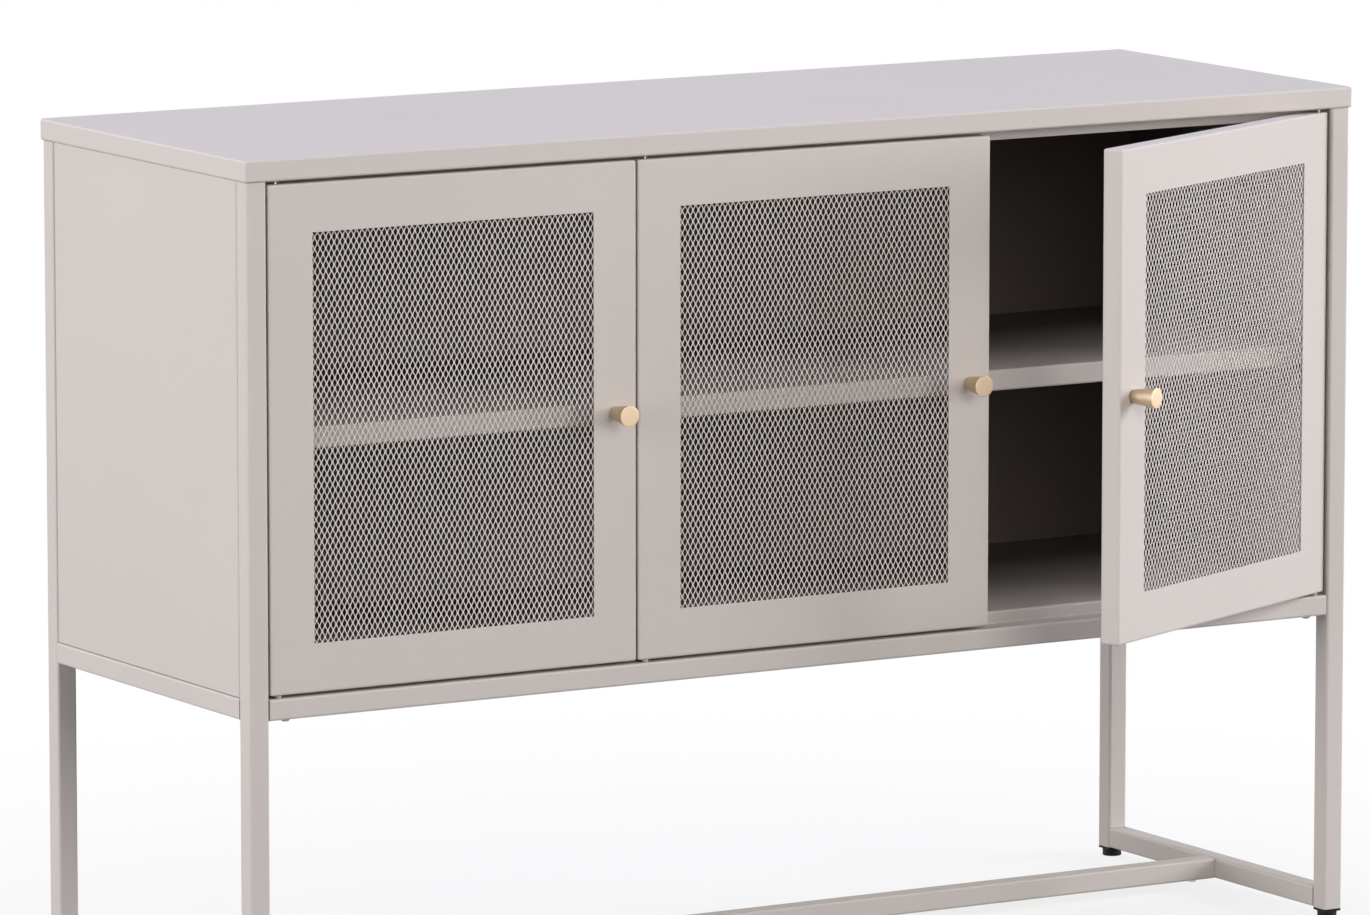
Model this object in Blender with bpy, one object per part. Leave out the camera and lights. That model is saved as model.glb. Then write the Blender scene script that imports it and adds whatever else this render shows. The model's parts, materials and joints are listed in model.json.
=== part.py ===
"""Steel sideboard: three expanded-metal doors between two welded end frames.

Two end frames of square tube carry folded sheet panels, a floor tray, a shelf and a top.
The doors are folded pans that turn on upright pivot pins in nylon bushes: the left and the
middle door are hung on their left edge, the right door on its right edge, and the right
door stands open. X runs to the right, Y to the back and Z up. The floor is Z = 0, and the
origin is the middle of the floor area that the sideboard covers with that door open.
"""
import math

import bmesh
import bpy
from mathutils import Matrix, Vector

MM = 0.001

# Whole cabinet
TOP_WIDTH = 1200 * MM
TOP_DEPTH = 402 * MM
LEG_CLEAR = 288.5 * MM       # free height of the legs below the side rails
SEAT = 0.3 * MM              # gap between two pieces that lie against each other

# Sheet metal
SHEET = 1.0 * MM
BEND = 1.0 * MM              # inside radius of a fold
BEND_STEPS = 2

# Top panel
TOP_EDGE = 20 * MM           # height of the folded edge
TOP_LIP = 45 * MM            # return under the edge
TOP_OVERHANG = 2 * MM        # beyond the posts, all round

# End frames
TUBE = 20 * MM
TUBE_WALL = 1.2 * MM
TUBE_INNER_RADIUS = 0.8 * MM
PANEL_GAP = 0.8 * MM         # seam between a side panel and its frame
PANEL_RECESS = 0.5 * MM      # side panel behind the face of its frame
PANEL_FLANGE = 16 * MM

# Floor tray
APRON = 19.5 * MM            # height of the front rail
APRON_END_GAP = 1.0 * MM     # between the front rail and a post
APRON_LIP = 14 * MM          # return under the front rail
FLOOR_STEP = 12 * MM         # floor above the ledge under the doors

# Shelf
SHELF_RISE = 228 * MM        # top of the shelf above the floor
SHELF_LIP = 20 * MM
SHELF_RETURN = 12 * MM
SHELF_SETBACK = 10 * MM      # behind the door stop
CLIP_SHEET = 1.5 * MM
CLIP_WIDTH = 20 * MM
CLIP_DROP = 12 * MM
CLIP_REACH = 16 * MM
CLIP_INSET = 40 * MM         # from the shelf's front and back edges

# Doors
DOOR_HEIGHT = 464 * MM
DOOR_THICKNESS = 20 * MM
DOOR_STILE = 45 * MM         # width of the frame round the window
DOOR_RETURN = 12 * MM        # lip at the back of the pan
DOOR_GAP_SIDE = 2.0 * MM
DOOR_GAP_BOTTOM = 3.0 * MM
DOOR_GAP_TOP = 3.5 * MM
RIGHT_DOOR_OPEN = math.radians(25.6)
STOP_CLEARANCE = 1.0 * MM    # between a stop and the corner that swings past it
STOP_DROP = 11 * MM          # top stop below the top panel
STOP_FLANGE = 15 * MM

# Expanded metal in the doors, drawn with diamonds six times as large as the real ones
MESH_SHEET = 1.2 * MM
MESH_LAP = 10 * MM           # plain rim behind the door's face
MESH_RIM_HIDE = 1.0 * MM     # the rim starts this far outside the window
MESH_COLUMN = 36.5 * MM      # aimed-at width of a diamond
MESH_ROW = 62.5 * MM         # aimed-at height of a diamond
MESH_STRAND = 4.0 * MM

# Door pivots
PIVOT_INSET = 10 * MM        # axis from the hung edge
PIN_RADIUS = 1.3 * MM
PIN_SHOULDER = 2.2 * MM      # head beyond the pin, all round
PIN_HEAD_CLEAR = 0.5 * MM    # between the head and the door's face sheet
PIN_HEAD = 2.0 * MM
PIN_CHAMFER = 0.6 * MM
PIN_PAST_BUSH = 2.0 * MM
BUSH_WALL = 0.6 * MM
BUSH_SHOULDER = 0.5 * MM     # head beyond its hole, all round
TOP_BUSH_HEAD = 0.8 * MM     # the upper bush carries no weight, so its head is thin
BUSH_TAIL = 4.0 * MM         # past the sheet that holds it

# Knobs and magnets on the doors
KNOB_BASE_RADIUS = 6.4 * MM
KNOB_FACE_RADIUS = 9.7 * MM
KNOB_LENGTH = 26.5 * MM
KNOB_EDGE = 0.8 * MM
SCREW_RADIUS = 2.0 * MM
SCREW_DEPTH = 12 * MM        # into the knob
SCREW_HEAD_RADIUS = 4.0 * MM
SCREW_HEAD_TAPER = 1.2 * MM  # crown narrower than the head, all round
SCREW_HEAD = 2.4 * MM
MAGNET_RADIUS = 3.0 * MM
MAGNET_STEM_RADIUS = 2.0 * MM
MAGNET_STEM = 4.0 * MM       # behind the lip that holds it
MAGNET_INSET = 14 * MM       # from the free edge
MAGNET_RISE = 5.0 * MM       # above the door's lower edge

# Stretcher between the end frames
TONGUE_LENGTH = 40 * MM
TONGUE_HEIGHT = 6.0 * MM
TONGUE_FIT = 0.4 * MM
BOLT_INSET = 20 * MM         # from the stretcher's end
BOLT_RADIUS = 3.0 * MM
BOLT_HEAD_RADIUS = 5.5 * MM
BOLT_HEAD_TAPER = 2.2 * MM   # crown narrower than the head, all round
BOLT_HEAD = 2.5 * MM

# Feet
FOOT_HEIGHT = 7.0 * MM
FOOT_RADIUS = 9.5 * MM
FOOT_ROUND = 1.5 * MM        # lower edge of the disc
FOOT_CHAMFER = 0.8 * MM      # upper edge of the disc
STEM_RADIUS = 3.0 * MM
STEM_LENGTH = 17 * MM        # above the disc
CAP_FLANGE = 2.0 * MM
CAP_PLUG = 15 * MM

# Cutters and facets
CUT_PAST = 1.0 * MM          # a cutter runs this far past the sheet it cuts
SMALL_STEPS = 10
FOOT_STEPS = 16
KNOB_STEPS = 20

# Places that follow from the sizes above
HALF = TOP_WIDTH / 2 - TOP_OVERHANG          # outer face of a post
DEPTH = TOP_DEPTH - 2 * TOP_OVERHANG         # front to back over the posts
INNER = HALF - TUBE                          # inner face of a post
WALL = HALF - PANEL_RECESS - SHEET           # inner face of a side panel
FIT_HALF = WALL - SEAT                       # half length of what fits between the panels
LEG_END = FOOT_HEIGHT + CAP_FLANGE + 2 * SEAT
BASE_Z = LEG_END + LEG_CLEAR
RAIL_TOP = BASE_Z + TUBE
LEDGE_Z = BASE_Z + APRON
FLOOR_Z = LEDGE_Z + FLOOR_STEP
DOOR_BOTTOM = LEDGE_Z + DOOR_GAP_BOTTOM
DOOR_TOP = DOOR_BOTTOM + DOOR_HEIGHT
TOP_UNDER = DOOR_TOP + DOOR_GAP_TOP
DOOR_WIDTH = (2 * INNER - 4 * DOOR_GAP_SIDE) / 3
PIN_HEAD_RADIUS = PIN_RADIUS + PIN_SHOULDER
PIVOT_SETBACK = SHEET + PIN_HEAD_CLEAR + PIN_HEAD_RADIUS    # axis behind the door's front face
STOP_Y = PIVOT_SETBACK + math.hypot(PIVOT_INSET, DOOR_THICKNESS - PIVOT_SETBACK) + STOP_CLEARANCE
PANEL_FRONT = TUBE + PANEL_GAP
PANEL_BACK = DEPTH - TUBE - PANEL_GAP
BACK_Y = PANEL_BACK - 2 * SHEET - SEAT       # front of the back panel
SHELF_Z = FLOOR_Z + SHELF_RISE
SHELF_FRONT = STOP_Y + SHELF_SETBACK
FOLD_RADIUS = BEND + SHEET                   # outside radius of a fold
TUBE_RADIUS = TUBE_INNER_RADIUS + TUBE_WALL
TUBE_BORE = TUBE - 2 * TUBE_WALL
BUSH_BORE = PIN_RADIUS + SEAT
BUSH_RADIUS = BUSH_BORE + BUSH_WALL
BUSH_HOLE = BUSH_RADIUS + SEAT
BUSH_HEAD_RADIUS = BUSH_HOLE + BUSH_SHOULDER
SCREW_HOLE = SCREW_RADIUS + SEAT
BOLT_HOLE = BOLT_RADIUS + SEAT
FREE_LENGTH = DOOR_WIDTH - PIVOT_INSET       # axis to free edge
KNOB_ALONG = FREE_LENGTH - DOOR_STILE / 2    # axis to knob

# Knob outline, radius against distance from the door's face, from the screw hole outwards
KNOB_PROFILE = (
    (0, SCREW_DEPTH + SEAT),
    (SCREW_HOLE, SCREW_DEPTH + SEAT),
    (SCREW_HOLE, SEAT),
    (KNOB_BASE_RADIUS, SEAT),
    (KNOB_FACE_RADIUS, KNOB_LENGTH - 2 * KNOB_EDGE),
    (KNOB_FACE_RADIUS, KNOB_LENGTH - KNOB_EDGE),
    (KNOB_FACE_RADIUS - KNOB_EDGE, KNOB_LENGTH),
    (0, KNOB_LENGTH),
)


def open_door_reach():
    """How far the open door's knob stands in front of the posts."""
    turn, lean = math.sin(RIGHT_DOOR_OPEN), math.cos(RIGHT_DOOR_OPEN)
    reach = max((KNOB_ALONG + radius) * turn + (PIVOT_SETBACK + out) * lean for radius, out in KNOB_PROFILE)
    return reach - PIVOT_SETBACK


CENTRE_Y = (DEPTH + TOP_OVERHANG - open_door_reach()) / 2

# Frames that turn local x, y, z into cabinet directions
ALONG_X = Matrix(((0, 0, 1, 0), (1, 0, 0, 0), (0, 1, 0, 0), (0, 0, 0, 1)))
ALONG_Y = Matrix(((0, 1, 0, 0), (0, 0, 1, 0), (1, 0, 0, 0), (0, 0, 0, 1)))
TO_FRONT = Matrix.Rotation(math.pi / 2, 4, "X")
TO_BACK = Matrix.Rotation(-math.pi / 2, 4, "X")
TO_FLOOR = Matrix.Rotation(math.pi, 4, "X")


def linear(hex_colour):
    """Linear RGBA of an sRGB colour written as six hex digits."""
    channels = [int(hex_colour[i:i + 2], 16) / 255 for i in (0, 2, 4)]
    return [c / 12.92 if c <= 0.04045 else ((c + 0.055) / 1.055) ** 2.4 for c in channels] + [1.0]


def finish(name, hex_colour, roughness, metallic):
    material = bpy.data.materials.new(name)
    material.use_nodes = True
    shader = material.node_tree.nodes["Principled BSDF"]
    shader.inputs["Base Color"].default_value = linear(hex_colour)
    shader.inputs["Roughness"].default_value = roughness
    shader.inputs["Metallic"].default_value = metallic
    material.diffuse_color = linear(hex_colour)
    return material


def place(x, y, z, turn=None):
    """Matrix that turns a local shape and then moves it."""
    return Matrix.Translation((x, y, z)) @ (turn if turn else Matrix.Identity(4))


def add(name, shape, material, parent, location=(0, 0, 0), smooth=False):
    """Turn a bmesh into a named object on its parent."""
    mesh = bpy.data.meshes.new(name)
    shape.to_mesh(mesh)
    shape.free()
    if smooth:
        mesh.shade_smooth()
        mesh.set_sharp_from_angle(angle=math.radians(40))
    obj = bpy.data.objects.new(name, mesh)
    bpy.context.scene.collection.objects.link(obj)
    obj.location = location
    obj.parent = parent
    if material:
        mesh.materials.append(material)
    return obj


def empty(name, parent, location, turn=0.0):
    obj = bpy.data.objects.new(name, None)
    bpy.context.scene.collection.objects.link(obj)
    obj.location = location
    obj.rotation_euler.z = turn
    obj.parent = parent
    return obj


def loft(rings, closed=False):
    """Skin through rings of points. One point is a pole; a closed skin ends where it began."""
    shape = bmesh.new()
    rings = [[shape.verts.new(point) for point in ring] for ring in rings]
    steps = max(len(ring) for ring in rings)
    pairs = list(zip(rings, rings[1:]))
    if closed:
        pairs.append((rings[-1], rings[0]))
    for low, high in pairs:
        for k in range(steps):
            j = (k + 1) % steps
            quad = (low[k % len(low)], low[j % len(low)], high[j % len(high)], high[k % len(high)])
            shape.faces.new(list(dict.fromkeys(quad)))
    return shape


def circle(radius, z, steps, turn=0.0):
    if radius == 0:
        return [(0, 0, z)]
    angles = [turn + 2 * math.pi * k / steps for k in range(steps)]
    return [(radius * math.cos(a), radius * math.sin(a), z) for a in angles]


def turned(profile, steps, bored=False):
    """Solid of revolution about z. The profile of (radius, z) points runs up the outside."""
    return loft([circle(radius, z, steps) for radius, z in profile], closed=bored)


def rounded_square(size, radius, z):
    """Square outline with each corner an arc of BEND_STEPS steps."""
    points = []
    for corner in range(4):
        for k in range(BEND_STEPS + 1):
            angle = math.pi / 2 * (corner + k / BEND_STEPS)
            middle = math.pi / 2 * (corner + 0.5)
            reach = (size / 2 - radius) * math.sqrt(2)
            x = reach * math.cos(middle) + radius * math.cos(angle)
            y = reach * math.sin(middle) + radius * math.sin(angle)
            points.append((x, y, z))
    return points


def tube(length):
    """Square tube along z, open at both ends."""
    outside = [rounded_square(TUBE, TUBE_RADIUS, z) for z in (0, length)]
    inside = [rounded_square(TUBE_BORE, TUBE_INNER_RADIUS, z) for z in (length, 0)]
    return loft(outside + inside, closed=True)


def prism(outline, length):
    """Closed outline in local x, y carried along local z."""
    turns = sum(a[0] * b[1] - b[0] * a[1] for a, b in zip(outline, outline[1:] + outline[:1]))
    points = outline if turns > 0 else outline[::-1]
    shape = bmesh.new()
    low, high = [[shape.verts.new((x, y, z)) for x, y in points] for z in (0, length)]
    shape.faces.new(low[::-1])
    shape.faces.new(high)
    for k in range(len(points)):
        shape.faces.new((low[k - 1], low[k], high[k], high[k - 1]))
    return shape


def block(low, high):
    """Box between two corners."""
    corners = [(low[0], low[1]), (high[0], low[1]), (high[0], high[1]), (low[0], high[1])]
    shape = prism(corners, high[2] - low[2])
    shape.transform(place(0, 0, low[2]))
    return shape


def folded(path, sheet=SHEET):
    """Outline of a sheet that lies to the right of an open path, with every bend rounded."""
    points = [Vector(point) for point in path]
    ways = [(b - a).normalized() for a, b in zip(points, points[1:])]
    rights = [Vector((way.y, -way.x)) for way in ways]
    near, far = [points[0]], [points[0] + rights[0] * sheet]
    for corner, before, after in zip(points[1:-1], rights, rights[1:]):
        side = 1 if before.cross(after) < 0 else -1
        radius = BEND + (sheet if side > 0 else 0)
        centre = corner + (before + after) / (1 + before.dot(after)) * side * radius
        for k in range(BEND_STEPS + 1):
            out = before.slerp(after, k / BEND_STEPS)
            near.append(centre - out * side * radius)
            far.append(centre - out * (side * radius - sheet))
    near.append(points[-1])
    far.append(points[-1] + rights[-1] * sheet)
    return [tuple(point) for point in near + far[::-1]]


def pan(width, height, depth, lip, window=None):
    """Skin of a folded pan whose face looks along +z: flanges, a return lip and a window."""
    shape = bmesh.new()
    bmesh.ops.create_cube(shape, size=1, matrix=Matrix.Diagonal((width, height, depth, 1)))
    folds = list(shape.edges)
    face = max(shape.faces, key=lambda f: f.normal.z)
    back = min(shape.faces, key=lambda f: f.normal.z)
    cut = [back]
    bmesh.ops.inset_region(shape, faces=[back], thickness=lip, use_even_offset=True)
    if window:
        bmesh.ops.inset_region(shape, faces=[face], thickness=window, use_even_offset=True)
        cut.append(face)
    bmesh.ops.delete(shape, geom=cut, context="FACES")
    bmesh.ops.bevel(shape, geom=folds, offset=FOLD_RADIUS, segments=BEND_STEPS, profile=0.5,
                    affect="EDGES")
    return shape


def thicken(obj):
    """Give a pan's skin its sheet thickness, inwards."""
    wall = obj.modifiers.new("sheet", "SOLIDIFY")
    wall.thickness = SHEET
    wall.offset = -1
    wall.use_even_offset = True


def cut_away(obj, shape):
    """Take a shape out of an object, through a hidden cutter on the same parent."""
    cutter = add(obj.name + "_cutter_%d" % len(obj.modifiers), shape, None, obj.parent, obj.location)
    cutter.hide_render = True
    cutter.display_type = "WIRE"
    hole = obj.modifiers.new("cut", "BOOLEAN")
    hole.operation = "DIFFERENCE"
    hole.object = cutter


def drills(places, radius, depth):
    """Round cutters on several places, each through the origin of its place along local z."""
    shape = bmesh.new()
    for spot in places:
        one = turned(((0, -depth), (radius, -depth), (radius, depth), (0, depth)), SMALL_STEPS)
        one.transform(spot)
        mesh = bpy.data.meshes.new("drill")
        one.to_mesh(mesh)
        one.free()
        shape.from_mesh(mesh)
        bpy.data.meshes.remove(mesh)
    return shape


def clip_to_window(polygon, half_width, half_height):
    """Part of a convex polygon inside a rectangle about the origin."""
    sides = ((0, 1, half_width), (0, -1, half_width), (1, 1, half_height), (1, -1, half_height))
    for axis, sign, limit in sides:
        kept = []
        for a, b in zip(polygon, polygon[1:] + polygon[:1]):
            inside_a, inside_b = limit - sign * a[axis], limit - sign * b[axis]
            if inside_a >= 0:
                kept.append(a)
            if inside_a * inside_b < 0:
                share = inside_a / (inside_a - inside_b)
                kept.append((a[0] + share * (b[0] - a[0]), a[1] + share * (b[1] - a[1])))
        polygon = kept
    return polygon


def expanded_metal(width, height):
    """Sheet of staggered diamond openings inside a plain rim, in local x, y."""
    half_w, half_h = width / 2 + MESH_RIM_HIDE, height / 2 + MESH_RIM_HIDE
    rim_w, rim_h = half_w + MESH_LAP, half_h + MESH_LAP
    columns, rows = round(width / MESH_COLUMN), round(height / MESH_ROW)
    step_x, step_y = width / columns, height / rows
    to_strand = step_x * step_y / 2 / math.hypot(step_x, step_y)
    open_share = 1 - MESH_STRAND / 2 / to_strand
    reach_x, reach_y = open_share * step_x / 2, open_share * step_y / 2
    outlines = [[(-rim_w, -rim_h), (rim_w, -rim_h), (rim_w, rim_h), (-rim_w, rim_h)]]
    for shift in (0, 1):
        for i in range(columns + shift):
            for j in range(rows + shift):
                x = (i + 0.5 - 0.5 * shift - columns / 2) * step_x
                y = (j + 0.5 - 0.5 * shift - rows / 2) * step_y
                diamond = [(x - reach_x, y), (x, y - reach_y), (x + reach_x, y), (x, y + reach_y)]
                outlines.append(clip_to_window(diamond, half_w, half_h))
    shape = bmesh.new()
    edges = []
    for outline in outlines:
        verts = [shape.verts.new((x, y, 0)) for x, y in outline]
        edges += [shape.edges.new((verts[k - 1], verts[k])) for k in range(len(verts))]
    bmesh.ops.triangle_fill(shape, use_beauty=True, edges=edges, normal=(0, 0, 1))
    front = list(shape.faces)
    back = bmesh.ops.duplicate(shape, geom=list(shape.verts) + edges + front)
    twins = back["vert_map"]
    for vert in [v for v in back["geom"] if isinstance(v, bmesh.types.BMVert)]:
        vert.co.z -= MESH_SHEET
    bmesh.ops.reverse_faces(shape, faces=[f for f in back["geom"] if isinstance(f, bmesh.types.BMFace)])
    for edge in edges:
        a, b = edge.verts
        shape.faces.new((a, b, twins[b], twins[a]))
    bmesh.ops.recalc_face_normals(shape, faces=shape.faces)
    return shape


def top_panel(parent, coat, pivots):
    """Folded tray, open below, with a bush hole in its front lip over every pivot."""
    middle_z = TOP_UNDER + TOP_EDGE / 2
    shape = pan(TOP_WIDTH, TOP_DEPTH, TOP_EDGE, TOP_LIP)
    shape.transform(place(0, DEPTH / 2, middle_z))
    obj = add("top_panel", shape, coat, parent)
    thicken(obj)
    holes = [place(x, PIVOT_SETBACK, TOP_UNDER) for x in pivots]
    cut_away(obj, drills(holes, BUSH_HOLE, SHEET + CUT_PAST))


def door_stop(parent, coat):
    """Angle under the top panel that the doors close against."""
    high = TOP_UNDER - SEAT
    outline = folded([(STOP_Y, TOP_UNDER - STOP_DROP), (STOP_Y, high), (STOP_Y + STOP_FLANGE, high)])
    shape = prism(outline, 2 * FIT_HALF)
    shape.transform(place(-FIT_HALF, 0, 0, ALONG_X))
    add("top_door_stop", shape, coat, parent)


def floor_tray(parent, coat, pivots):
    """One sheet folded into front rail, ledge, step, floor and rear rail, notched at its ends."""
    back = BACK_Y - SEAT
    outline = folded([
        (APRON_LIP, BASE_Z), (0, BASE_Z), (0, LEDGE_Z), (STOP_Y, LEDGE_Z), (STOP_Y, FLOOR_Z),
        (back, FLOOR_Z), (back, BASE_Z), (back - APRON_LIP, BASE_Z),
    ])
    shape = prism(outline, 2 * FIT_HALF)
    shape.transform(place(-FIT_HALF, 0, 0, ALONG_X))
    obj = add("floor_tray", shape, coat, parent)
    rest = RAIL_TOP + SEAT
    notch = [(-TUBE, BASE_Z - TUBE), (DEPTH, BASE_Z - TUBE), (DEPTH, rest), (STOP_Y, rest),
             (STOP_Y, FLOOR_Z), (-TUBE, FLOOR_Z)]
    for start in (-INNER - TUBE, INNER - APRON_END_GAP):
        cutter = prism(notch, TUBE + APRON_END_GAP)
        cutter.transform(place(start, 0, 0, ALONG_X))
        cut_away(obj, cutter)
    holes = [place(x, PIVOT_SETBACK, LEDGE_Z) for x in pivots]
    cut_away(obj, drills(holes, BUSH_HOLE, SHEET + CUT_PAST))


def end_frame(side, name, parent, coat):
    """Two posts, the rail under the side panel and the rail between the leg ends."""
    middle = side * (HALF - TUBE / 2)
    for end, y in (("front", TUBE / 2), ("rear", DEPTH - TUBE / 2)):
        post = tube(TOP_UNDER - SEAT - LEG_END)
        post.transform(place(middle, y, LEG_END))
        add("%s_%s_post" % (end, name), post, coat, parent)
    for rail_name, z in (("side_rail", BASE_Z), ("floor_rail", LEG_END)):
        rail = tube(DEPTH - 2 * TUBE - 2 * SEAT)
        rail.transform(place(middle, TUBE + SEAT, z + TUBE / 2, ALONG_Y))
        add("%s_%s" % (name, rail_name), rail, coat, parent)


def side_panel(side, name, parent, coat):
    """Sheet with a flange behind each post, standing on the side rail."""
    outer = HALF - PANEL_RECESS
    inner = outer - PANEL_FLANGE
    outline = folded([(inner, PANEL_BACK), (outer, PANEL_BACK), (outer, PANEL_FRONT), (inner, PANEL_FRONT)])
    low = RAIL_TOP + PANEL_GAP
    shape = prism([(side * x, y) for x, y in outline], TOP_UNDER - SEAT - low)
    shape.transform(place(0, 0, low))
    add(name + "_side_panel", shape, coat, parent)


def back_panel(parent, coat):
    low = RAIL_TOP + SEAT
    shape = block((-FIT_HALF, BACK_Y, low), (FIT_HALF, BACK_Y + SHEET, TOP_UNDER - SEAT))
    add("back_panel", shape, coat, parent)


def shelf(parent, coat, zinc):
    """Folded shelf across the whole cabinet on four clips."""
    depth = BACK_Y - SEAT - SHELF_FRONT
    shape = pan(2 * FIT_HALF, depth, SHELF_LIP, SHELF_RETURN)
    shape.transform(place(0, SHELF_FRONT + depth / 2, SHELF_Z - SHELF_LIP / 2))
    thicken(add("shelf", shape, coat, parent))
    high = SHELF_Z - SHELF_LIP - SEAT
    path = [(FIT_HALF - CLIP_REACH, high), (FIT_HALF, high), (FIT_HALF, high - CLIP_DROP)]
    outline = folded(path, CLIP_SHEET)
    for name, side in (("left", -1), ("right", 1)):
        for end, y in (("front", SHELF_FRONT + CLIP_INSET), ("rear", BACK_Y - CLIP_INSET)):
            clip = prism([(side * x, z) for x, z in outline], CLIP_WIDTH)
            clip.transform(place(0, y + CLIP_WIDTH / 2, 0, TO_FRONT))
            add("%s_%s_shelf_clip" % (end, name), clip, zinc, parent)


def stretcher(parent, coat, zinc):
    """Tube between the floor rails, each end on a tongue with a bolt from below."""
    reach = INNER - SEAT
    bar = tube(2 * reach)
    bar.transform(place(-reach, DEPTH / 2, LEG_END + TUBE / 2, ALONG_X))
    obj = add("stretcher", bar, coat, parent)
    low = TUBE_WALL + SEAT
    high = low + TONGUE_HEIGHT
    half = TUBE_BORE / 2 - TONGUE_FIT
    holes = []
    for name, side in (("left", -1), ("right", 1)):
        hole = place(side * (reach - BOLT_INSET), DEPTH / 2, LEG_END)
        holes.append(hole)
        near, far = sorted((side * reach, side * (reach - TONGUE_LENGTH)))
        tongue = block((near, DEPTH / 2 - half, LEG_END + low), (far, DEPTH / 2 + half, LEG_END + high))
        plate = add(name + "_stretcher_tongue", tongue, zinc, parent)
        cut_away(plate, drills([hole], BOLT_HOLE, high + CUT_PAST))
        bolt = turned((
            (0, -SEAT - BOLT_HEAD), (BOLT_HEAD_RADIUS - BOLT_HEAD_TAPER, -SEAT - BOLT_HEAD),
            (BOLT_HEAD_RADIUS, -SEAT), (BOLT_RADIUS, -SEAT), (BOLT_RADIUS, high), (0, high),
        ), SMALL_STEPS)
        bolt.transform(hole)
        add(name + "_stretcher_bolt", bolt, zinc, parent, smooth=True)
    cut_away(obj, drills(holes, BOLT_HOLE, TUBE_WALL + CUT_PAST))


def foot(side, name, end, y, parent, black):
    """Square cap in the leg's end and a levelling foot that screws into it."""
    x = side * (HALF - TUBE / 2)
    plug = TUBE_BORE - 2 * SEAT
    hole = STEM_RADIUS + SEAT
    steps = 4 * (BEND_STEPS + 1)
    top = CAP_FLANGE + CAP_PLUG
    rings = [rounded_square(TUBE, TUBE_RADIUS, z) for z in (0, CAP_FLANGE)]
    rings += [rounded_square(plug, TUBE_INNER_RADIUS, z) for z in (CAP_FLANGE, top)]
    rings += [circle(hole, z, steps, math.pi / steps) for z in (top, 0)]
    cap = loft(rings, closed=True)
    cap.transform(place(x, y, FOOT_HEIGHT + SEAT))
    add("%s_%s_leg_cap" % (end, name), cap, black, parent)
    tip = FOOT_HEIGHT + STEM_LENGTH
    glide = turned((
        (0, 0), (FOOT_RADIUS - FOOT_ROUND, 0), (FOOT_RADIUS, FOOT_ROUND),
        (FOOT_RADIUS, FOOT_HEIGHT - FOOT_CHAMFER), (FOOT_RADIUS - FOOT_CHAMFER, FOOT_HEIGHT),
        (STEM_RADIUS, FOOT_HEIGHT), (STEM_RADIUS, tip), (0, tip),
    ), FOOT_STEPS)
    add("%s_%s_foot" % (end, name), glide, black, parent, (x, y, 0), smooth=True)


def door_fittings(name, axis, knob_spot, magnet_spot, finishes):
    """Knob with its screw from behind, and the magnet that meets the door stop."""
    knob = turned(KNOB_PROFILE, KNOB_STEPS)
    inside = -SHEET - SEAT
    screw = turned((
        (0, inside - SCREW_HEAD), (SCREW_HEAD_RADIUS - SCREW_HEAD_TAPER, inside - SCREW_HEAD),
        (SCREW_HEAD_RADIUS, inside - SCREW_HEAD / 2), (SCREW_HEAD_RADIUS, inside),
        (SCREW_RADIUS, inside), (SCREW_RADIUS, SCREW_DEPTH), (0, SCREW_DEPTH),
    ), SMALL_STEPS)
    tail = -SHEET - MAGNET_STEM
    to_stop = STOP_Y - DOOR_THICKNESS - SEAT
    magnet = turned((
        (0, tail), (MAGNET_STEM_RADIUS, tail), (MAGNET_STEM_RADIUS, SEAT),
        (MAGNET_RADIUS, SEAT), (MAGNET_RADIUS, to_stop), (0, to_stop),
    ), SMALL_STEPS)
    pieces = (("knob", knob, knob_spot, "brass"), ("knob_screw", screw, knob_spot, "zinc"),
              ("magnet", magnet, magnet_spot, "magnet"))
    for piece, shape, spot, look in pieces:
        shape.transform(spot)
        add("%s_%s" % (name, piece), shape, finishes[look], axis, smooth=True)


def door_pivot(name, end, spot, gap, head, axis, cabinet, finishes):
    """Headed pin through the door's flange, and the bush that it turns in."""
    inside = -SHEET - SEAT
    under = gap - SEAT - head
    past = gap + SHEET + BUSH_TAIL
    tip = past + PIN_PAST_BUSH
    pin = turned((
        (0, inside - PIN_HEAD), (PIN_HEAD_RADIUS, inside - PIN_HEAD), (PIN_HEAD_RADIUS, inside),
        (PIN_RADIUS, inside), (PIN_RADIUS, tip - PIN_CHAMFER), (PIN_RADIUS - PIN_CHAMFER, tip), (0, tip),
    ), SMALL_STEPS)
    pin.transform(spot)
    add("%s_%s_pin" % (name, end), pin, finishes["zinc"], axis, smooth=True)
    bush = turned((
        (BUSH_HEAD_RADIUS, under), (BUSH_HEAD_RADIUS, under + head), (BUSH_RADIUS, under + head),
        (BUSH_RADIUS, past), (BUSH_BORE, past), (BUSH_BORE, under),
    ), SMALL_STEPS, bored=True)
    bush.transform(Matrix.Translation(axis.location) @ spot)
    add("%s_%s_bush" % (name, end), bush, finishes["nylon"], cabinet, smooth=True)


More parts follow.
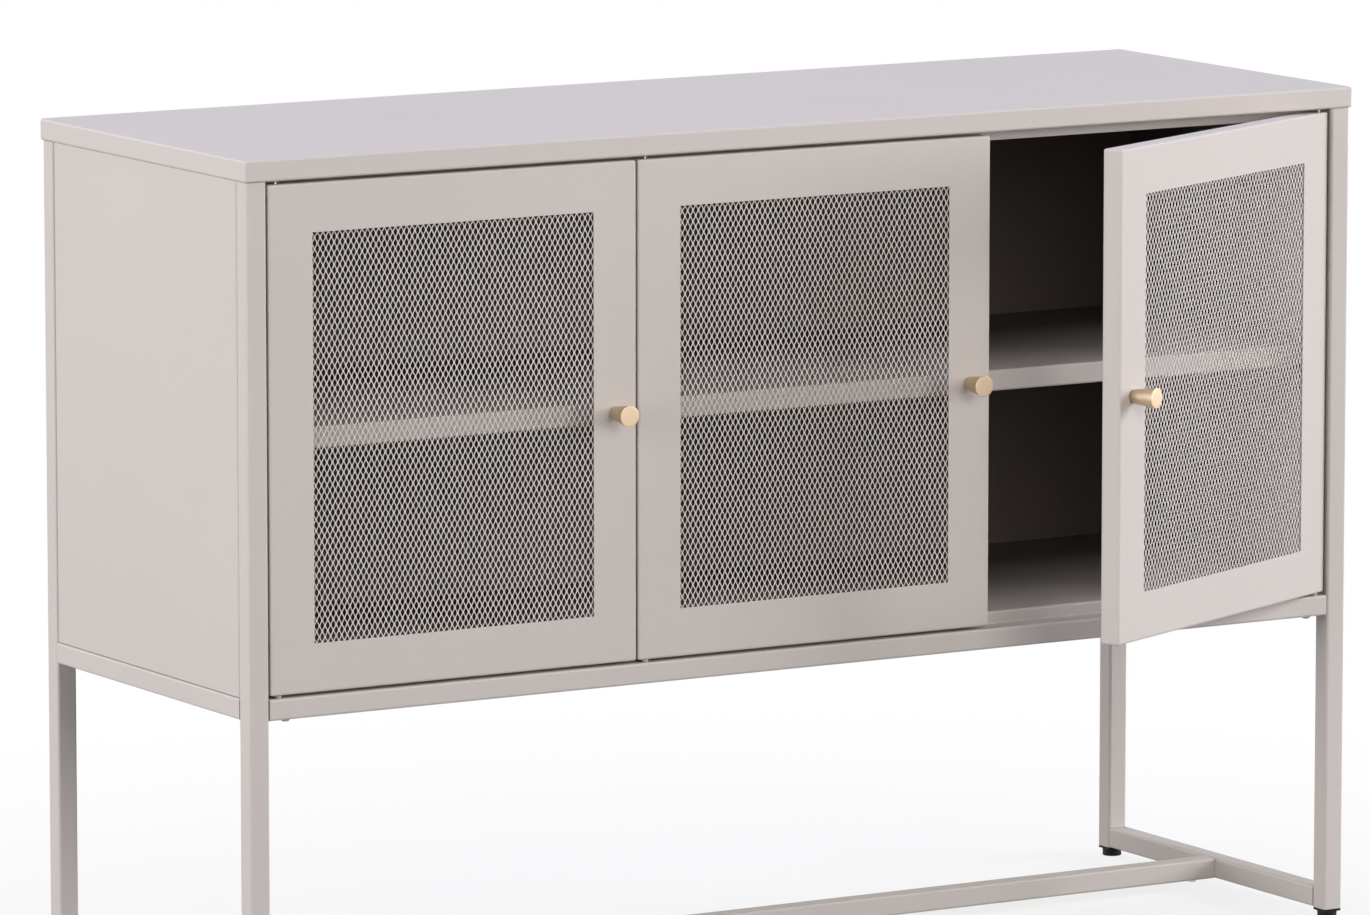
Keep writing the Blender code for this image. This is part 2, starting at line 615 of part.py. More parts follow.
def door(name, hand, pivot_x, opened, cabinet, finishes):
    """Pan with its mesh and fittings on an upright axis; the bushes stay with the cabinet.

    hand is 1 where the free edge lies towards +X from the axis, and -1 where it lies towards -X.
    """
    axis = empty(name + "_axis", cabinet, (pivot_x, PIVOT_SETBACK, DOOR_BOTTOM), opened)
    front = -PIVOT_SETBACK
    middle = hand * (DOOR_WIDTH / 2 - PIVOT_INSET)
    knob_spot = place(hand * KNOB_ALONG, front, DOOR_HEIGHT / 2, TO_FRONT)
    magnet_x = hand * (FREE_LENGTH - MAGNET_INSET)
    magnet_spot = place(magnet_x, front + DOOR_THICKNESS, MAGNET_RISE, TO_BACK)
    pivots = (("bottom", place(0, 0, 0, TO_FLOOR), DOOR_GAP_BOTTOM, DOOR_GAP_BOTTOM - 2 * SEAT),
              ("top", place(0, 0, DOOR_HEIGHT), DOOR_GAP_TOP, TOP_BUSH_HEAD))

    shape = pan(DOOR_WIDTH, DOOR_HEIGHT, DOOR_THICKNESS, DOOR_RETURN, DOOR_STILE)
    shape.transform(place(middle, front + DOOR_THICKNESS / 2, DOOR_HEIGHT / 2, TO_FRONT))
    obj = add(name + "_pan", shape, finishes["coat"], axis)
    thicken(obj)
    through = SHEET + CUT_PAST
    cut_away(obj, drills([spot for _, spot, _, _ in pivots], PIN_RADIUS + SEAT, through))
    cut_away(obj, drills([knob_spot], SCREW_HOLE, through))
    cut_away(obj, drills([magnet_spot], MAGNET_STEM_RADIUS + SEAT, through))

    sheet = expanded_metal(DOOR_WIDTH - 2 * DOOR_STILE, DOOR_HEIGHT - 2 * DOOR_STILE)
    sheet.transform(place(middle, front + SHEET + SEAT, DOOR_HEIGHT / 2, TO_FRONT))
    add(name + "_mesh", sheet, finishes["mesh"], axis)
    door_fittings(name, axis, knob_spot, magnet_spot, finishes)
    for end, spot, gap, head in pivots:
        door_pivot(name, end, spot, gap, head, axis, cabinet, finishes)


def build():
    for obj in list(bpy.data.objects):
        bpy.data.objects.remove(obj, do_unlink=True)
    finishes = {
        "coat": finish("greige_powder_coat", "CBC1BB", 0.5, 0.0),
        "mesh": finish("greige_mesh_coat", "C6BDB6", 0.5, 0.0),
        "brass": finish("champagne_brass", "DEBF92", 0.35, 1.0),
        "zinc": finish("zinc_plated_steel", "B9BBBD", 0.35, 1.0),
        "black": finish("black_polypropylene", "141414", 0.55, 0.0),
        "nylon": finish("white_nylon", "E4E1DB", 0.5, 0.0),
        "magnet": finish("dark_ferrite", "3A3A3C", 0.6, 0.0),
    }
    cabinet = empty("cabinet", None, (0, -CENTRE_Y, 0))
    coat, zinc = finishes["coat"], finishes["zinc"]

    edge = INNER - DOOR_GAP_SIDE - PIVOT_INSET
    pitch = DOOR_WIDTH + DOOR_GAP_SIDE
    doors = (("left_door", 1, -edge, 0.0), ("middle_door", 1, pitch - edge, 0.0),
             ("right_door", -1, edge, RIGHT_DOOR_OPEN))
    pivots = [x for _, _, x, _ in doors]

    top_panel(cabinet, coat, pivots)
    door_stop(cabinet, coat)
    floor_tray(cabinet, coat, pivots)
    back_panel(cabinet, coat)
    shelf(cabinet, coat, zinc)
    stretcher(cabinet, coat, zinc)
    for name, side in (("left", -1), ("right", 1)):
        end_frame(side, name, cabinet, coat)
        side_panel(side, name, cabinet, coat)
        for end, y in (("front", TUBE / 2), ("rear", DEPTH - TUBE / 2)):
            foot(side, name, end, y, cabinet, finishes["black"])
    for name, hand, x, opened in doors:
        door(name, hand, x, opened, cabinet, finishes)


build()
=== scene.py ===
"""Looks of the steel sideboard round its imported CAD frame, in metres.

The expanded metal in the doors, the knobs, the levelling feet, and the bolts and end tabs of the front rail are
worked out here as surfaces. The other pieces are the CAD solids, each with the finish of the real one.
"""
import json
import math

import bpy
import numpy as np
from mathutils import Matrix, Vector

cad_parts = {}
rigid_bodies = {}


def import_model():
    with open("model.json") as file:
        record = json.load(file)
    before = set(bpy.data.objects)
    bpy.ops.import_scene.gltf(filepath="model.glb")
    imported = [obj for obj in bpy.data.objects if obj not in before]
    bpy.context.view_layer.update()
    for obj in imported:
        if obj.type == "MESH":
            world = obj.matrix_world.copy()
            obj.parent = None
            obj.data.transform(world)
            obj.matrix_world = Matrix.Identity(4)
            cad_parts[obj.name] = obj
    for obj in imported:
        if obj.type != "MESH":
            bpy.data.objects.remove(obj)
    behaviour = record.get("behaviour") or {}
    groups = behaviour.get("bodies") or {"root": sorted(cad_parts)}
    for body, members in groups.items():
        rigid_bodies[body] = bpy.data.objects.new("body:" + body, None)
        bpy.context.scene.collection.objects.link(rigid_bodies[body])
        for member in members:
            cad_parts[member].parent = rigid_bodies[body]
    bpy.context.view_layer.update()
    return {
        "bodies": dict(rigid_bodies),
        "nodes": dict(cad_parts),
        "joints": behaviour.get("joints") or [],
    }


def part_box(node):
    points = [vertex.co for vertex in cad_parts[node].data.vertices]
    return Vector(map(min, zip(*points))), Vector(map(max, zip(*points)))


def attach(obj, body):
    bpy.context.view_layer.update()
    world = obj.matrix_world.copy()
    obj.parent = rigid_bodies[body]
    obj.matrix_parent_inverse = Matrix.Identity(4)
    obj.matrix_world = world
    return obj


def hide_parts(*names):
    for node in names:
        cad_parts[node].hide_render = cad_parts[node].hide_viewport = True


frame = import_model()

MM = 0.001

# Doors, measured from the pivot axis towards the free edge, out of the front face and up from the lower edge
DOORS = ("left_door", "middle_door", "right_door")
DOOR_WIDTH = 382.667 * MM
DOOR_HEIGHT = 464 * MM
DOOR_STILE = 45 * MM
PIVOT_INSET = 10 * MM
FACE_OUT = 5 * MM            # front face in front of the pivot axis
SHEET = 1 * MM               # all folded pieces

# Expanded metal: openings side by side across the window and one above the other
OPENINGS_ACROSS = 51
OPENINGS_UP = 36.5
STRAND_WIDTH = 0.95 * MM
STRAND_THICK = 0.5 * MM
BOND_LENGTH = 2.0 * MM       # where two neighbouring strands are one
SHEET_LAP = 9 * MM           # behind the door's face, all round the window
SHEET_GAP = 0.3 * MM         # between the face's sheet and the expanded metal

# Front rail
TAB_GAP = 1.1 * MM           # end tab from the post
TAB_DEPTH = 14 * MM          # end tab behind the rail's face
TAB_BEVEL = 0.15 * MM
LEDGE_DROP = 3 * MM          # ledge below the doors
BOLT_OUT = 558 * MM          # bolts from the middle of the rail
BOLT_BACK = 7 * MM           # bolts behind the rail's face

# Knobs
KNOB_IN = 22.5 * MM          # from the free edge
KNOB_GAP = 0.3 * MM          # from the door's face
KNOB_LENGTH = 26.35 * MM
KNOB_BASE_RADIUS = 6.4 * MM
KNOB_FACE_RADIUS = 9.7 * MM
KNOB_STEPS = 72

# Levelling feet
FOOT_RADIUS = 9.5 * MM
FOOT_HEIGHT = 7 * MM
GRIP_RADIUS = 9.0 * MM       # in the groove
STEM_RADIUS = 3 * MM
FOOT_STEPS = 56

# Painted shade inside the cabinet: the coat's colour darkens towards the back, measured back from the door stop
SHADE_STARTS_AT = 15 * MM
SHADE_FULL_AT = 260 * MM
# dark grey-brown of the painted shade deep in the cabinet
INSIDE_SHADE_COLOUR = "4E453F"

# Camera, with angles in degrees
CAMERA_PLACE = (-4.7035, -7.7442, 1.8181)
CAMERA_YAW = 30.864
CAMERA_PITCH = 8.394
CAMERA_FRAME = 36.0          # width of the frame in mm
CAMERA_LENS = 256.4          # in mm

# Studio
LAMPS_LOOK_AT = (0, 0.09, 0.5)
LAMP_DISTANCE = 6.0
FLOOR_REACH = 30             # each way from the middle
FLOOR_DROP = 0.2 * MM        # below the feet


def linear(hex_colour):
    """Linear RGBA of an sRGB colour written as six hex digits."""
    srgb = np.array([int(hex_colour[i:i + 2], 16) for i in (0, 2, 4)]) / 255
    light = np.where(srgb <= 0.04045, srgb / 12.92, ((srgb + 0.055) / 1.055) ** 2.4)
    return (*light.tolist(), 1.0)


def node(tree, kind, settings=None, inputs=None):
    """Add one node: settings are its own values, inputs are socket values or the outputs that feed them."""
    new = tree.nodes.new(kind)
    for name, value in (settings or {}).items():
        setattr(new, name, value)
    for name, value in (inputs or {}).items():
        if isinstance(value, bpy.types.NodeSocket):
            tree.links.new(value, new.inputs[name])
        else:
            new.inputs[name].default_value = value
    return new


def blank(name):
    """New material with an empty tree."""
    made = bpy.data.materials.new(name)
    made.use_nodes = True
    made.node_tree.nodes.clear()
    return made, made.node_tree


def powder_coat(name, dark, light, inside=None):
    """Epoxy-polyester powder coat on steel sheet, baked on.

    It gives the eye an even satin skin with a faint orange peel and slow, barely seen changes of tone.
    Orange peel is about 1.5 mm from crest to crest; it is drawn at 3 mm, because it is too fine to show.
    inside is a box, given by two corners, where shade is painted into the colour: from near the front it darkens
    towards the back to a dark grey-brown, standing in for the shade deep in the cabinet.
    """
    made, tree = blank(name)
    place = node(tree, "ShaderNodeTexCoord").outputs["Object"]
    cloud = node(tree, "ShaderNodeTexNoise", inputs={"Vector": place, "Scale": 1 / (180 * MM), "Detail": 2.0})
    peel = node(tree, "ShaderNodeTexNoise", inputs={"Vector": place, "Scale": 1 / (3 * MM), "Detail": 1.0})
    tone = node(tree, "ShaderNodeMix", {"data_type": "RGBA"},
                {0: cloud.outputs[0], 6: linear(dark), 7: linear(light)})
    # Painted shade: inside the box the colour blends to dark grey-brown with depth, standing in for the shade in
    # the cabinet
    if inside:
        low, high = inside
        off = node(tree, "ShaderNodeVectorMath", {"operation": "SUBTRACT"}, {0: place, 1: (low + high) / 2})
        off = node(tree, "ShaderNodeVectorMath", {"operation": "ABSOLUTE"}, {0: off.outputs[0]})
        past = node(tree, "ShaderNodeVectorMath", {"operation": "SUBTRACT"},
                    {0: off.outputs[0], 1: (high - low) / 2})
        past = node(tree, "ShaderNodeSeparateXYZ", inputs={0: past.outputs[0]})
        most = node(tree, "ShaderNodeMath", {"operation": "MAXIMUM"}, {0: past.outputs[0], 1: past.outputs[1]})
        most = node(tree, "ShaderNodeMath", {"operation": "MAXIMUM"}, {0: most.outputs[0], 1: past.outputs[2]})
        within = node(tree, "ShaderNodeMath", {"operation": "LESS_THAN"}, {0: most.outputs[0], 1: 0.0})
        depth = node(tree, "ShaderNodeSeparateXYZ", inputs={0: place})
        shade_ramp = node(tree, "ShaderNodeMapRange",
                    inputs={0: depth.outputs[1], 1: low.y + SHADE_STARTS_AT, 2: low.y + SHADE_FULL_AT})
        painted_shade = node(tree, "ShaderNodeMath", {"operation": "MULTIPLY"}, {0: within.outputs[0], 1: shade_ramp.outputs[0]})
        tone = node(tree, "ShaderNodeMix", {"data_type": "RGBA"},
                    {0: painted_shade.outputs[0], 6: tone.outputs[2], 7: linear(INSIDE_SHADE_COLOUR)})
    gloss = node(tree, "ShaderNodeMapRange", inputs={0: peel.outputs[0], 3: 0.56, 4: 0.66})
    bump = node(tree, "ShaderNodeBump",
                inputs={"Strength": 0.12, "Distance": 0.1 * MM, "Height": peel.outputs[0]})
    skin = node(tree, "ShaderNodeBsdfPrincipled", inputs={
        "Base Color": tone.outputs[2], "Roughness": gloss.outputs[0], "Normal": bump.outputs[0]})
    node(tree, "ShaderNodeOutputMaterial", inputs={"Surface": skin.outputs[0]})
    return made


def champagne_brass():
    """Brass plate on turned zinc, lacquered: a pale gold satin metal.

    Turning leaves fine rings round the knob, 0.3 mm apart, drawn at 0.8 mm so that they show.
    The rings follow the UV map, whose second axis is the distance along the outline in metres.
    """
    made, tree = blank("champagne_brass_satin")
    across = node(tree, "ShaderNodeUVMap").outputs[0]
    rings = node(tree, "ShaderNodeMapping", inputs={"Vector": across, "Scale": (2.0, 1 / (0.8 * MM), 1.0)})
    marks = node(tree, "ShaderNodeTexNoise", inputs={"Vector": rings.outputs[0], "Scale": 1.0, "Detail": 2.0})
    tone = node(tree, "ShaderNodeMix", {"data_type": "RGBA"},
                {0: marks.outputs[0], 6: linear("B8A288"), 7: linear("C9B69B")})
    gloss = node(tree, "ShaderNodeMapRange", inputs={0: marks.outputs[0], 3: 0.46, 4: 0.58})
    bump = node(tree, "ShaderNodeBump",
                inputs={"Strength": 0.08, "Distance": 0.05 * MM, "Height": marks.outputs[0]})
    skin = node(tree, "ShaderNodeBsdfPrincipled", inputs={
        "Base Color": tone.outputs[2], "Metallic": 1.0, "Roughness": gloss.outputs[0],
        "Normal": bump.outputs[0]})
    node(tree, "ShaderNodeOutputMaterial", inputs={"Surface": skin.outputs[0]})
    return made


def moulded(name, dark, light, grain, rough, shine=0.5):
    """Moulded plastic with a fine spark-eroded grain: matt, with a soft even sheen.

    grain is the grain's width in metres, drawn a few times coarser than the real 0.1 mm so that it shows.
    shine is the shader's specular level, lower where the grain traps light.
    """
    made, tree = blank(name)
    place = node(tree, "ShaderNodeTexCoord").outputs["Object"]
    pits = node(tree, "ShaderNodeTexNoise", inputs={"Vector": place, "Scale": 1 / grain, "Detail": 2.0})
    tone = node(tree, "ShaderNodeMix", {"data_type": "RGBA"},
                {0: pits.outputs[0], 6: linear(dark), 7: linear(light)})
    gloss = node(tree, "ShaderNodeMapRange", inputs={0: pits.outputs[0], 3: rough - 0.06, 4: rough + 0.08})
    bump = node(tree, "ShaderNodeBump",
                inputs={"Strength": 0.2, "Distance": 0.05 * MM, "Height": pits.outputs[0]})
    skin = node(tree, "ShaderNodeBsdfPrincipled", inputs={
        "Base Color": tone.outputs[2], "Roughness": gloss.outputs[0], "Specular IOR Level": shine,
        "Normal": bump.outputs[0]})
    node(tree, "ShaderNodeOutputMaterial", inputs={"Surface": skin.outputs[0]})
    return made


def zinc_plate():
    """Bright zinc plate on steel, tumbled: a cool grey metal with small cloudy patches about 2 mm wide."""
    made, tree = blank("zinc_plated_steel")
    place = node(tree, "ShaderNodeTexCoord").outputs["Object"]
    patches = node(tree, "ShaderNodeTexNoise", inputs={"Vector": place, "Scale": 1 / (2 * MM), "Detail": 3.0})
    tone = node(tree, "ShaderNodeMix", {"data_type": "RGBA"},
                {0: patches.outputs[0], 6: linear("A9ACB0"), 7: linear("C9CBCD")})
    gloss = node(tree, "ShaderNodeMapRange", inputs={0: patches.outputs[0], 3: 0.28, 4: 0.44})
    skin = node(tree, "ShaderNodeBsdfPrincipled", inputs={
        "Base Color": tone.outputs[2], "Metallic": 1.0, "Roughness": gloss.outputs[0]})
    node(tree, "ShaderNodeOutputMaterial", inputs={"Surface": skin.outputs[0]})
    return made


def grid_faces(rows, columns):
    """Quads between neighbouring rows of a grid of points whose last column joins its first."""
    i, j = np.meshgrid(np.arange(rows - 1), np.arange(columns), indexing="ij")
    k = (j + 1) % columns
    quads = np.stack([i * columns + j, i * columns + k, (i + 1) * columns + k, (i + 1) * columns + j], -1)
    return quads.reshape(-1, 4)


def put(name, points, faces, finish, body, replaced=(), smooth=False):
    """Make a mesh of points and faces in the row frame, and let it ride on a body."""
    mesh = bpy.data.meshes.new(name)
    mesh.from_pydata(points.reshape(-1, 3).tolist(), [], [face for block in faces for face in block.tolist()])
    mesh.materials.append(finish)
    if smooth:
        mesh.shade_smooth()
        mesh.set_sharp_from_angle(angle=math.radians(35))
    piece = bpy.data.objects.new(name, mesh)
    bpy.context.scene.collection.objects.link(piece)
    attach(piece, body)
    if replaced:
        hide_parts(*replaced)
    return piece


def turned(name, outline, steps, origin, axes, finish, body, replaced=()):
    """Solid of revolution: outline point (r, h) turned by angle a lies at r cos a, r sin a on the two cross axes
    and at h on the third. The outline runs from the axis at the bottom, up the outside, to the axis at the top.
    The UV map holds the turn and the distance along the outline.
    """
    outline = np.array(outline, float)
    ring, angle = outline[1:-1], np.linspace(0, 2 * np.pi, steps, endpoint=False)
    local = np.stack([ring[:, :1] * np.cos(angle), ring[:, :1] * np.sin(angle),
                      np.broadcast_to(ring[:, 1:], (len(ring), steps))], -1).reshape(-1, 3)
    local = np.vstack([local, [[0, 0, outline[0, 1]], [0, 0, outline[-1, 1]]]])
    points = local @ np.array(axes) + np.array(origin)
    around = np.arange(steps)
    following = (around + 1) % steps
    low, high = len(local) - 2, len(local) - 1
    last = (len(ring) - 1) * steps
    faces = [grid_faces(len(ring), steps),
             np.stack([np.full(steps, low), following, around], -1),
             np.stack([np.full(steps, high), last + around, last + following], -1)]
    if np.linalg.det(np.array(axes)) < 0:
        faces = [block[:, ::-1] for block in faces]
    piece = put(name, points, faces, finish, body, replaced, smooth=True)
    along = np.concatenate([[0], np.cumsum(np.linalg.norm(np.diff(outline, axis=0), axis=1))])
    v = np.concatenate([np.repeat(along[1:-1], steps), [along[0], along[-1]]])
    u = np.concatenate([np.tile(angle / (2 * np.pi), len(ring)), [0, 0]])
    corners = np.empty(len(piece.data.loops), np.int32)
    piece.data.loops.foreach_get("vertex_index", corners)
    layer = piece.data.uv_layers.new(name="turned")
    layer.uv.foreach_set("vector", np.stack([u, v], -1)[corners].astype(np.float32).ravel())
    return piece


def rounded_outline(corners, radius, steps=5):
    """Outline with every inner corner replaced by an arc-like curve: each corner c between neighbours p and n
    becomes points on the quadratic curve from c + radius towards p, by c, to c + radius towards n.
    """
    corners = np.array(corners, float)
    before, here, after = corners[:-2], corners[1:-1], corners[2:]
    to_before, to_after = before - here, after - here
    reach_before = np.linalg.norm(to_before, axis=1, keepdims=True)
    reach_after = np.linalg.norm(to_after, axis=1, keepdims=True)
    start = here + to_before / reach_before * np.minimum(radius, reach_before * 0.45)
    end = here + to_after / reach_after * np.minimum(radius, reach_after * 0.45)
    t = np.linspace(0, 1, steps)[:, None, None]
    curve = (1 - t) ** 2 * start + 2 * t * (1 - t) * here + t ** 2 * end
    return np.vstack([corners[:1], curve.transpose(1, 0, 2).reshape(-1, 2), corners[-1:]])


def door_axes(body):
    """A door's pivot at its lower edge, and its own directions as rows: to the free edge, out of the face, up."""
    hinge = next(joint for joint in frame["joints"] if joint["child"] == body)
    hand = -hinge["axis"][2]
    turn = np.array(Matrix.Rotation(math.radians(-hinge["range_deg"][0]), 3, Vector(hinge["axis"])))
    return np.array(hinge["pos_m"]), np.array([[hand, 0, 0], [0, -1, 0], [0, 0, 1]], float) @ turn.T


def expanded_metal(body, finish):
    """Slit and stretched sheet: upright strands that swing between their two neighbours.

    Strand i stands at i half openings across and swings by A w(z), with w a wave that is 1 along a bond on its
    right, -1 along a bond on its left and straight between; neighbouring strands swing against each other.
    A makes the two edges meet along a bond. Each strand is a rectangle carried along that path.
    """
    window_wide, window_high = DOOR_WIDTH - 2 * DOOR_STILE, DOOR_HEIGHT - 2 * DOOR_STILE
    half, period = window_wide / OPENINGS_ACROSS / 2, window_high / OPENINGS_UP
    strands = int((window_wide + 2 * SHEET_LAP) / half)
    periods = int((window_high + 2 * SHEET_LAP) / period)
    swing = (half - STRAND_WIDTH) / 2
    bond = BOND_LENGTH / 2 / period
    phase = np.array([-bond, bond, 0.5 - bond, 0.5 + bond])
    rise = ((np.arange(periods)[:, None] + phase).ravel() - (periods - 1) / 2 - 0.25) * period
    wave = np.tile([1.0, 1.0, -1.0, -1.0], periods)
    number = np.arange(strands)
    middle = (number - (strands - 1) / 2) * half
    way = np.where(number % 2, -1.0, 1.0)
    centre = middle[:, None] + way[:, None] * swing * wave
    side = np.array([-1, 1, 1, -1]) * STRAND_WIDTH / 2
    depth = np.array([1, 1, -1, -1]) * STRAND_THICK / 2
    local = np.empty((strands, len(rise), 4, 3))
    local[..., 0] = centre[..., None] + side + DOOR_WIDTH / 2 - PIVOT_INSET
    local[..., 1] = depth + FACE_OUT - SHEET - SHEET_GAP - STRAND_THICK / 2
    local[..., 2] = rise[:, None] + DOOR_HEIGHT / 2
    origin, axes = door_axes(body)
    start = (number * len(rise) * 4)[:, None, None]
    walls = (start + grid_faces(len(rise), 4)).reshape(-1, 4)
    ends = (start + np.array([[3, 2, 1, 0], np.arange(4) + (len(rise) - 1) * 4])).reshape(-1, 4)
    faces = [walls, ends]
    if np.linalg.det(axes) > 0:
        faces = [block[:, ::-1] for block in faces]
    return put(body + "_expanded_metal", local @ axes + origin, faces, finish, body,
               [body + "_mesh"])


def knob(body, finish):
    """Tapered knob that widens towards its flat face, with a small round at every edge."""
    outline = rounded_outline([
        (0, KNOB_GAP), (KNOB_BASE_RADIUS, KNOB_GAP), (KNOB_FACE_RADIUS, KNOB_LENGTH - 1 * MM),
        (KNOB_FACE_RADIUS, KNOB_LENGTH), (0, KNOB_LENGTH)], 1.2 * MM)
    origin, axes = door_axes(body)
    spot = np.array([DOOR_WIDTH - PIVOT_INSET - KNOB_IN, FACE_OUT, DOOR_HEIGHT / 2]) @ axes + origin
    return turned(body + "_turned_knob", outline, KNOB_STEPS, spot, axes[[0, 2, 1]], finish, body,
                  [body + "_knob"])


def levelling_foot(body, finish):
    """Round foot with a rounded sole, a shallow grip groove and the stem that screws into the leg's cap."""
    low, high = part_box(body)
    outline = rounded_outline([
        (0, 0.4 * MM), (5 * MM, 0.4 * MM), (5.6 * MM, 0), (FOOT_RADIUS, 0), (FOOT_RADIUS, 3.2 * MM),
        (GRIP_RADIUS, 3.5 * MM), (GRIP_RADIUS, 4.1 * MM), (FOOT_RADIUS, 4.4 * MM), (FOOT_RADIUS, FOOT_HEIGHT),
        (STEM_RADIUS, FOOT_HEIGHT), (STEM_RADIUS, high.z - low.z), (0, high.z - low.z)], 1.1 * MM)
    middle = (low + high) / 2
    return turned(body + "_turned", outline, FOOT_STEPS, (middle.x, middle.y, low.z), np.eye(3), finish, body,
                  [body])


def rail_bolt(name, x, finish):
    """Button head with a socket, from below into the lip of the front rail."""
    low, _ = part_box("floor_tray")
    outline = rounded_outline([
        (0, -1.1 * MM), (1.7 * MM, -1.1 * MM), (1.9 * MM, -2.2 * MM), (3.0 * MM, -2.2 * MM), (4.6 * MM, -0.2 * MM),
        (0, -0.2 * MM)], 0.3 * MM)
    return turned(name, outline, 32, (x, low.y + BOLT_BACK, low.z), np.eye(3), finish, "cabinet")


def rail_tab(name, side, finish):
    """End of the front rail folded back beside the post: a rounded outline in y and z, carried across the sheet
    with its rim drawn in by a small bevel at both faces.
    """
    low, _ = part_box("floor_tray")
    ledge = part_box("left_door_pan")[0].z - LEDGE_DROP
    y0, y1 = low.y + 1.2 * MM, low.y + TAB_DEPTH
    z0, z1 = low.z + 1.3 * MM, ledge - 1.3 * MM
    ring = rounded_outline([(y0, z0), (y0, z1), (y1, z1), (y1, z0), (y0, z0), (y0, z1)], 1.5 * MM)[1:-1]
    middle = ring.mean(axis=0)
    across = np.array([0, TAB_BEVEL, SHEET - TAB_BEVEL, SHEET])
    drawn_in = 1 - TAB_BEVEL / TAB_DEPTH * 2
    shrink = np.array([drawn_in, 1, 1, drawn_in])
    points = np.empty((4, len(ring), 3))
    points[..., 0] = side * (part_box("front_right_post")[0].x - TAB_GAP - across)[:, None]
    points[..., 1:] = middle + (ring - middle) * shrink[:, None, None]
    around = np.arange(len(ring))
    faces = [grid_faces(4, len(ring)), around[None, ::-1], around[None] + 3 * len(ring)]
    if side < 0:
        faces = [block[:, ::-1] for block in faces]
    return put(name, points, faces, finish, "cabinet")


def carry_over(finishes):
    """Give every CAD solid that stays in view the first finish with a word that is in the solid's name."""
    for name, piece in frame["nodes"].items():
        if piece.hide_render:
            continue
        finish = next(made for words, made in finishes if any(word in name for word in words))
        for spot in piece.material_slots:
            spot.material = finish
        if not piece.material_slots:
            piece.data.materials.append(finish)


def background_rays(tree, rays):
    """1 on rays that show the background, straight, in a reflection or through glass, and 0 on the rest."""
    seen = node(tree, "ShaderNodeMath", {"operation": "MAXIMUM"},
                {0: rays["Is Camera Ray"], 1: rays["Is Glossy Ray"]})
    seen = node(tree, "ShaderNodeMath", {"operation": "MAXIMUM"},
                {0: seen.outputs[0], 1: rays["Is Transmission Ray"]})
    return seen.outputs[0]


def studio_floor():
    """Pale floor that takes the sideboard's shadow and turns to plain white away from it.

    It is grey to light that bounces off it, so that it lights the legs no more than a dull floor would.
    """
    made, tree = blank("pale_studio_floor")
    rays = node(tree, "ShaderNodeLightPath").outputs
    seen = background_rays(tree, rays)
    place = node(tree, "ShaderNodeTexCoord").outputs["Object"]
    far = node(tree, "ShaderNodeVectorMath", {"operation": "LENGTH"}, {0: place})
    fade = node(tree, "ShaderNodeMapRange", {"interpolation_type": "SMOOTHSTEP"},
                {0: far.outputs["Value"], 1: 0.5, 2: 1.5, 3: 0.78, 4: 1.0})
    share = node(tree, "ShaderNodeMath", {"operation": "MULTIPLY"}, {0: seen, 1: fade.outputs[0]})
    grain = node(tree, "ShaderNodeTexNoise", inputs={"Vector": place, "Scale": 1 / (40 * MM), "Detail": 3.0})
    tone = node(tree, "ShaderNodeMix", {"data_type": "RGBA"},
                {0: grain.outputs[0], 6: linear("E9E8E6"), 7: linear("EEEDEB")})
    tone = node(tree, "ShaderNodeMix", {"data_type": "RGBA"},
                {0: rays["Is Diffuse Ray"], 6: tone.outputs[2], 7: linear("7C7C7C")})
    lit = node(tree, "ShaderNodeBsdfDiffuse", inputs={"Color": tone.outputs[2]})
    white = node(tree, "ShaderNodeEmission", inputs={"Color": (1, 1, 1, 1), "Strength": 1.0})
    mixed = node(tree, "ShaderNodeMixShader",
                 inputs={0: share.outputs[0], 1: lit.outputs[0], 2: white.outputs[0]})
    node(tree, "ShaderNodeOutputMaterial", inputs={"Surface": mixed.outputs[0]})
    mesh = bpy.data.meshes.new("studio_floor")
    reach = np.linspace(-FLOOR_REACH, FLOOR_REACH, 3)
    x, y = np.meshgrid(reach, reach, indexing="ij")
    points = np.stack([x, y, np.full_like(x, -FLOOR_DROP)], -1).reshape(-1, 3)
    i, j = np.meshgrid(np.arange(2), np.arange(2), indexing="ij")
    corner = i * 3 + j
    quads = np.stack([corner, corner + 3, corner + 4, corner + 1], -1).reshape(-1, 4)
    mesh.from_pydata(points.tolist(), [], quads.tolist())
    mesh.materials.append(made)
    floor = bpy.data.objects.new("studio_floor", mesh)
    bpy.context.scene.collection.objects.link(floor)


def studio_world(tint, level):
    """Even white room: plain white to the eye and in reflections, and a low level of light on the object."""
    world = bpy.data.worlds.new("studio")
    bpy.context.scene.world = world
    world.use_nodes = True
    tree = world.node_tree
    tree.nodes.clear()
    seen = background_rays(tree, node(tree, "ShaderNodeLightPath").outputs)
    fill = node(tree, "ShaderNodeBackground", inputs={"Color": linear(tint), "Strength": level})
    white = node(tree, "ShaderNodeBackground", inputs={"Color": linear("FFFFFF"), "Strength": 1.0})
    mixed = node(tree, "ShaderNodeMixShader",
                 inputs={0: seen, 1: fill.outputs[0], 2: white.outputs[0]})
    node(tree, "ShaderNodeOutputWorld", inputs={"Surface": mixed.outputs[0]})


def softbox(name, azimuth, elevation, size, power, tint):
    """Square soft lamp that looks at the middle of the sideboard. Azimuth 0 is in front, 90 on the right.

    Angles are in degrees, size in metres and power in watts.
    """
    lamp = bpy.data.lights.new(name, "AREA")
    lamp.shape, lamp.size, lamp.energy, lamp.color = "SQUARE", size, power, linear(tint)[:3]
    holder = bpy.data.objects.new(name, lamp)
    bpy.context.scene.collection.objects.link(holder)
    a, e = math.radians(azimuth), math.radians(elevation)
    way = Vector((math.sin(a) * math.cos(e), -math.cos(a) * math.cos(e), math.sin(e)))
    holder.location = Vector(LAMPS_LOOK_AT) + way * LAMP_DISTANCE
    holder.rotation_euler = way.to_track_quat("Z", "Y").to_euler()


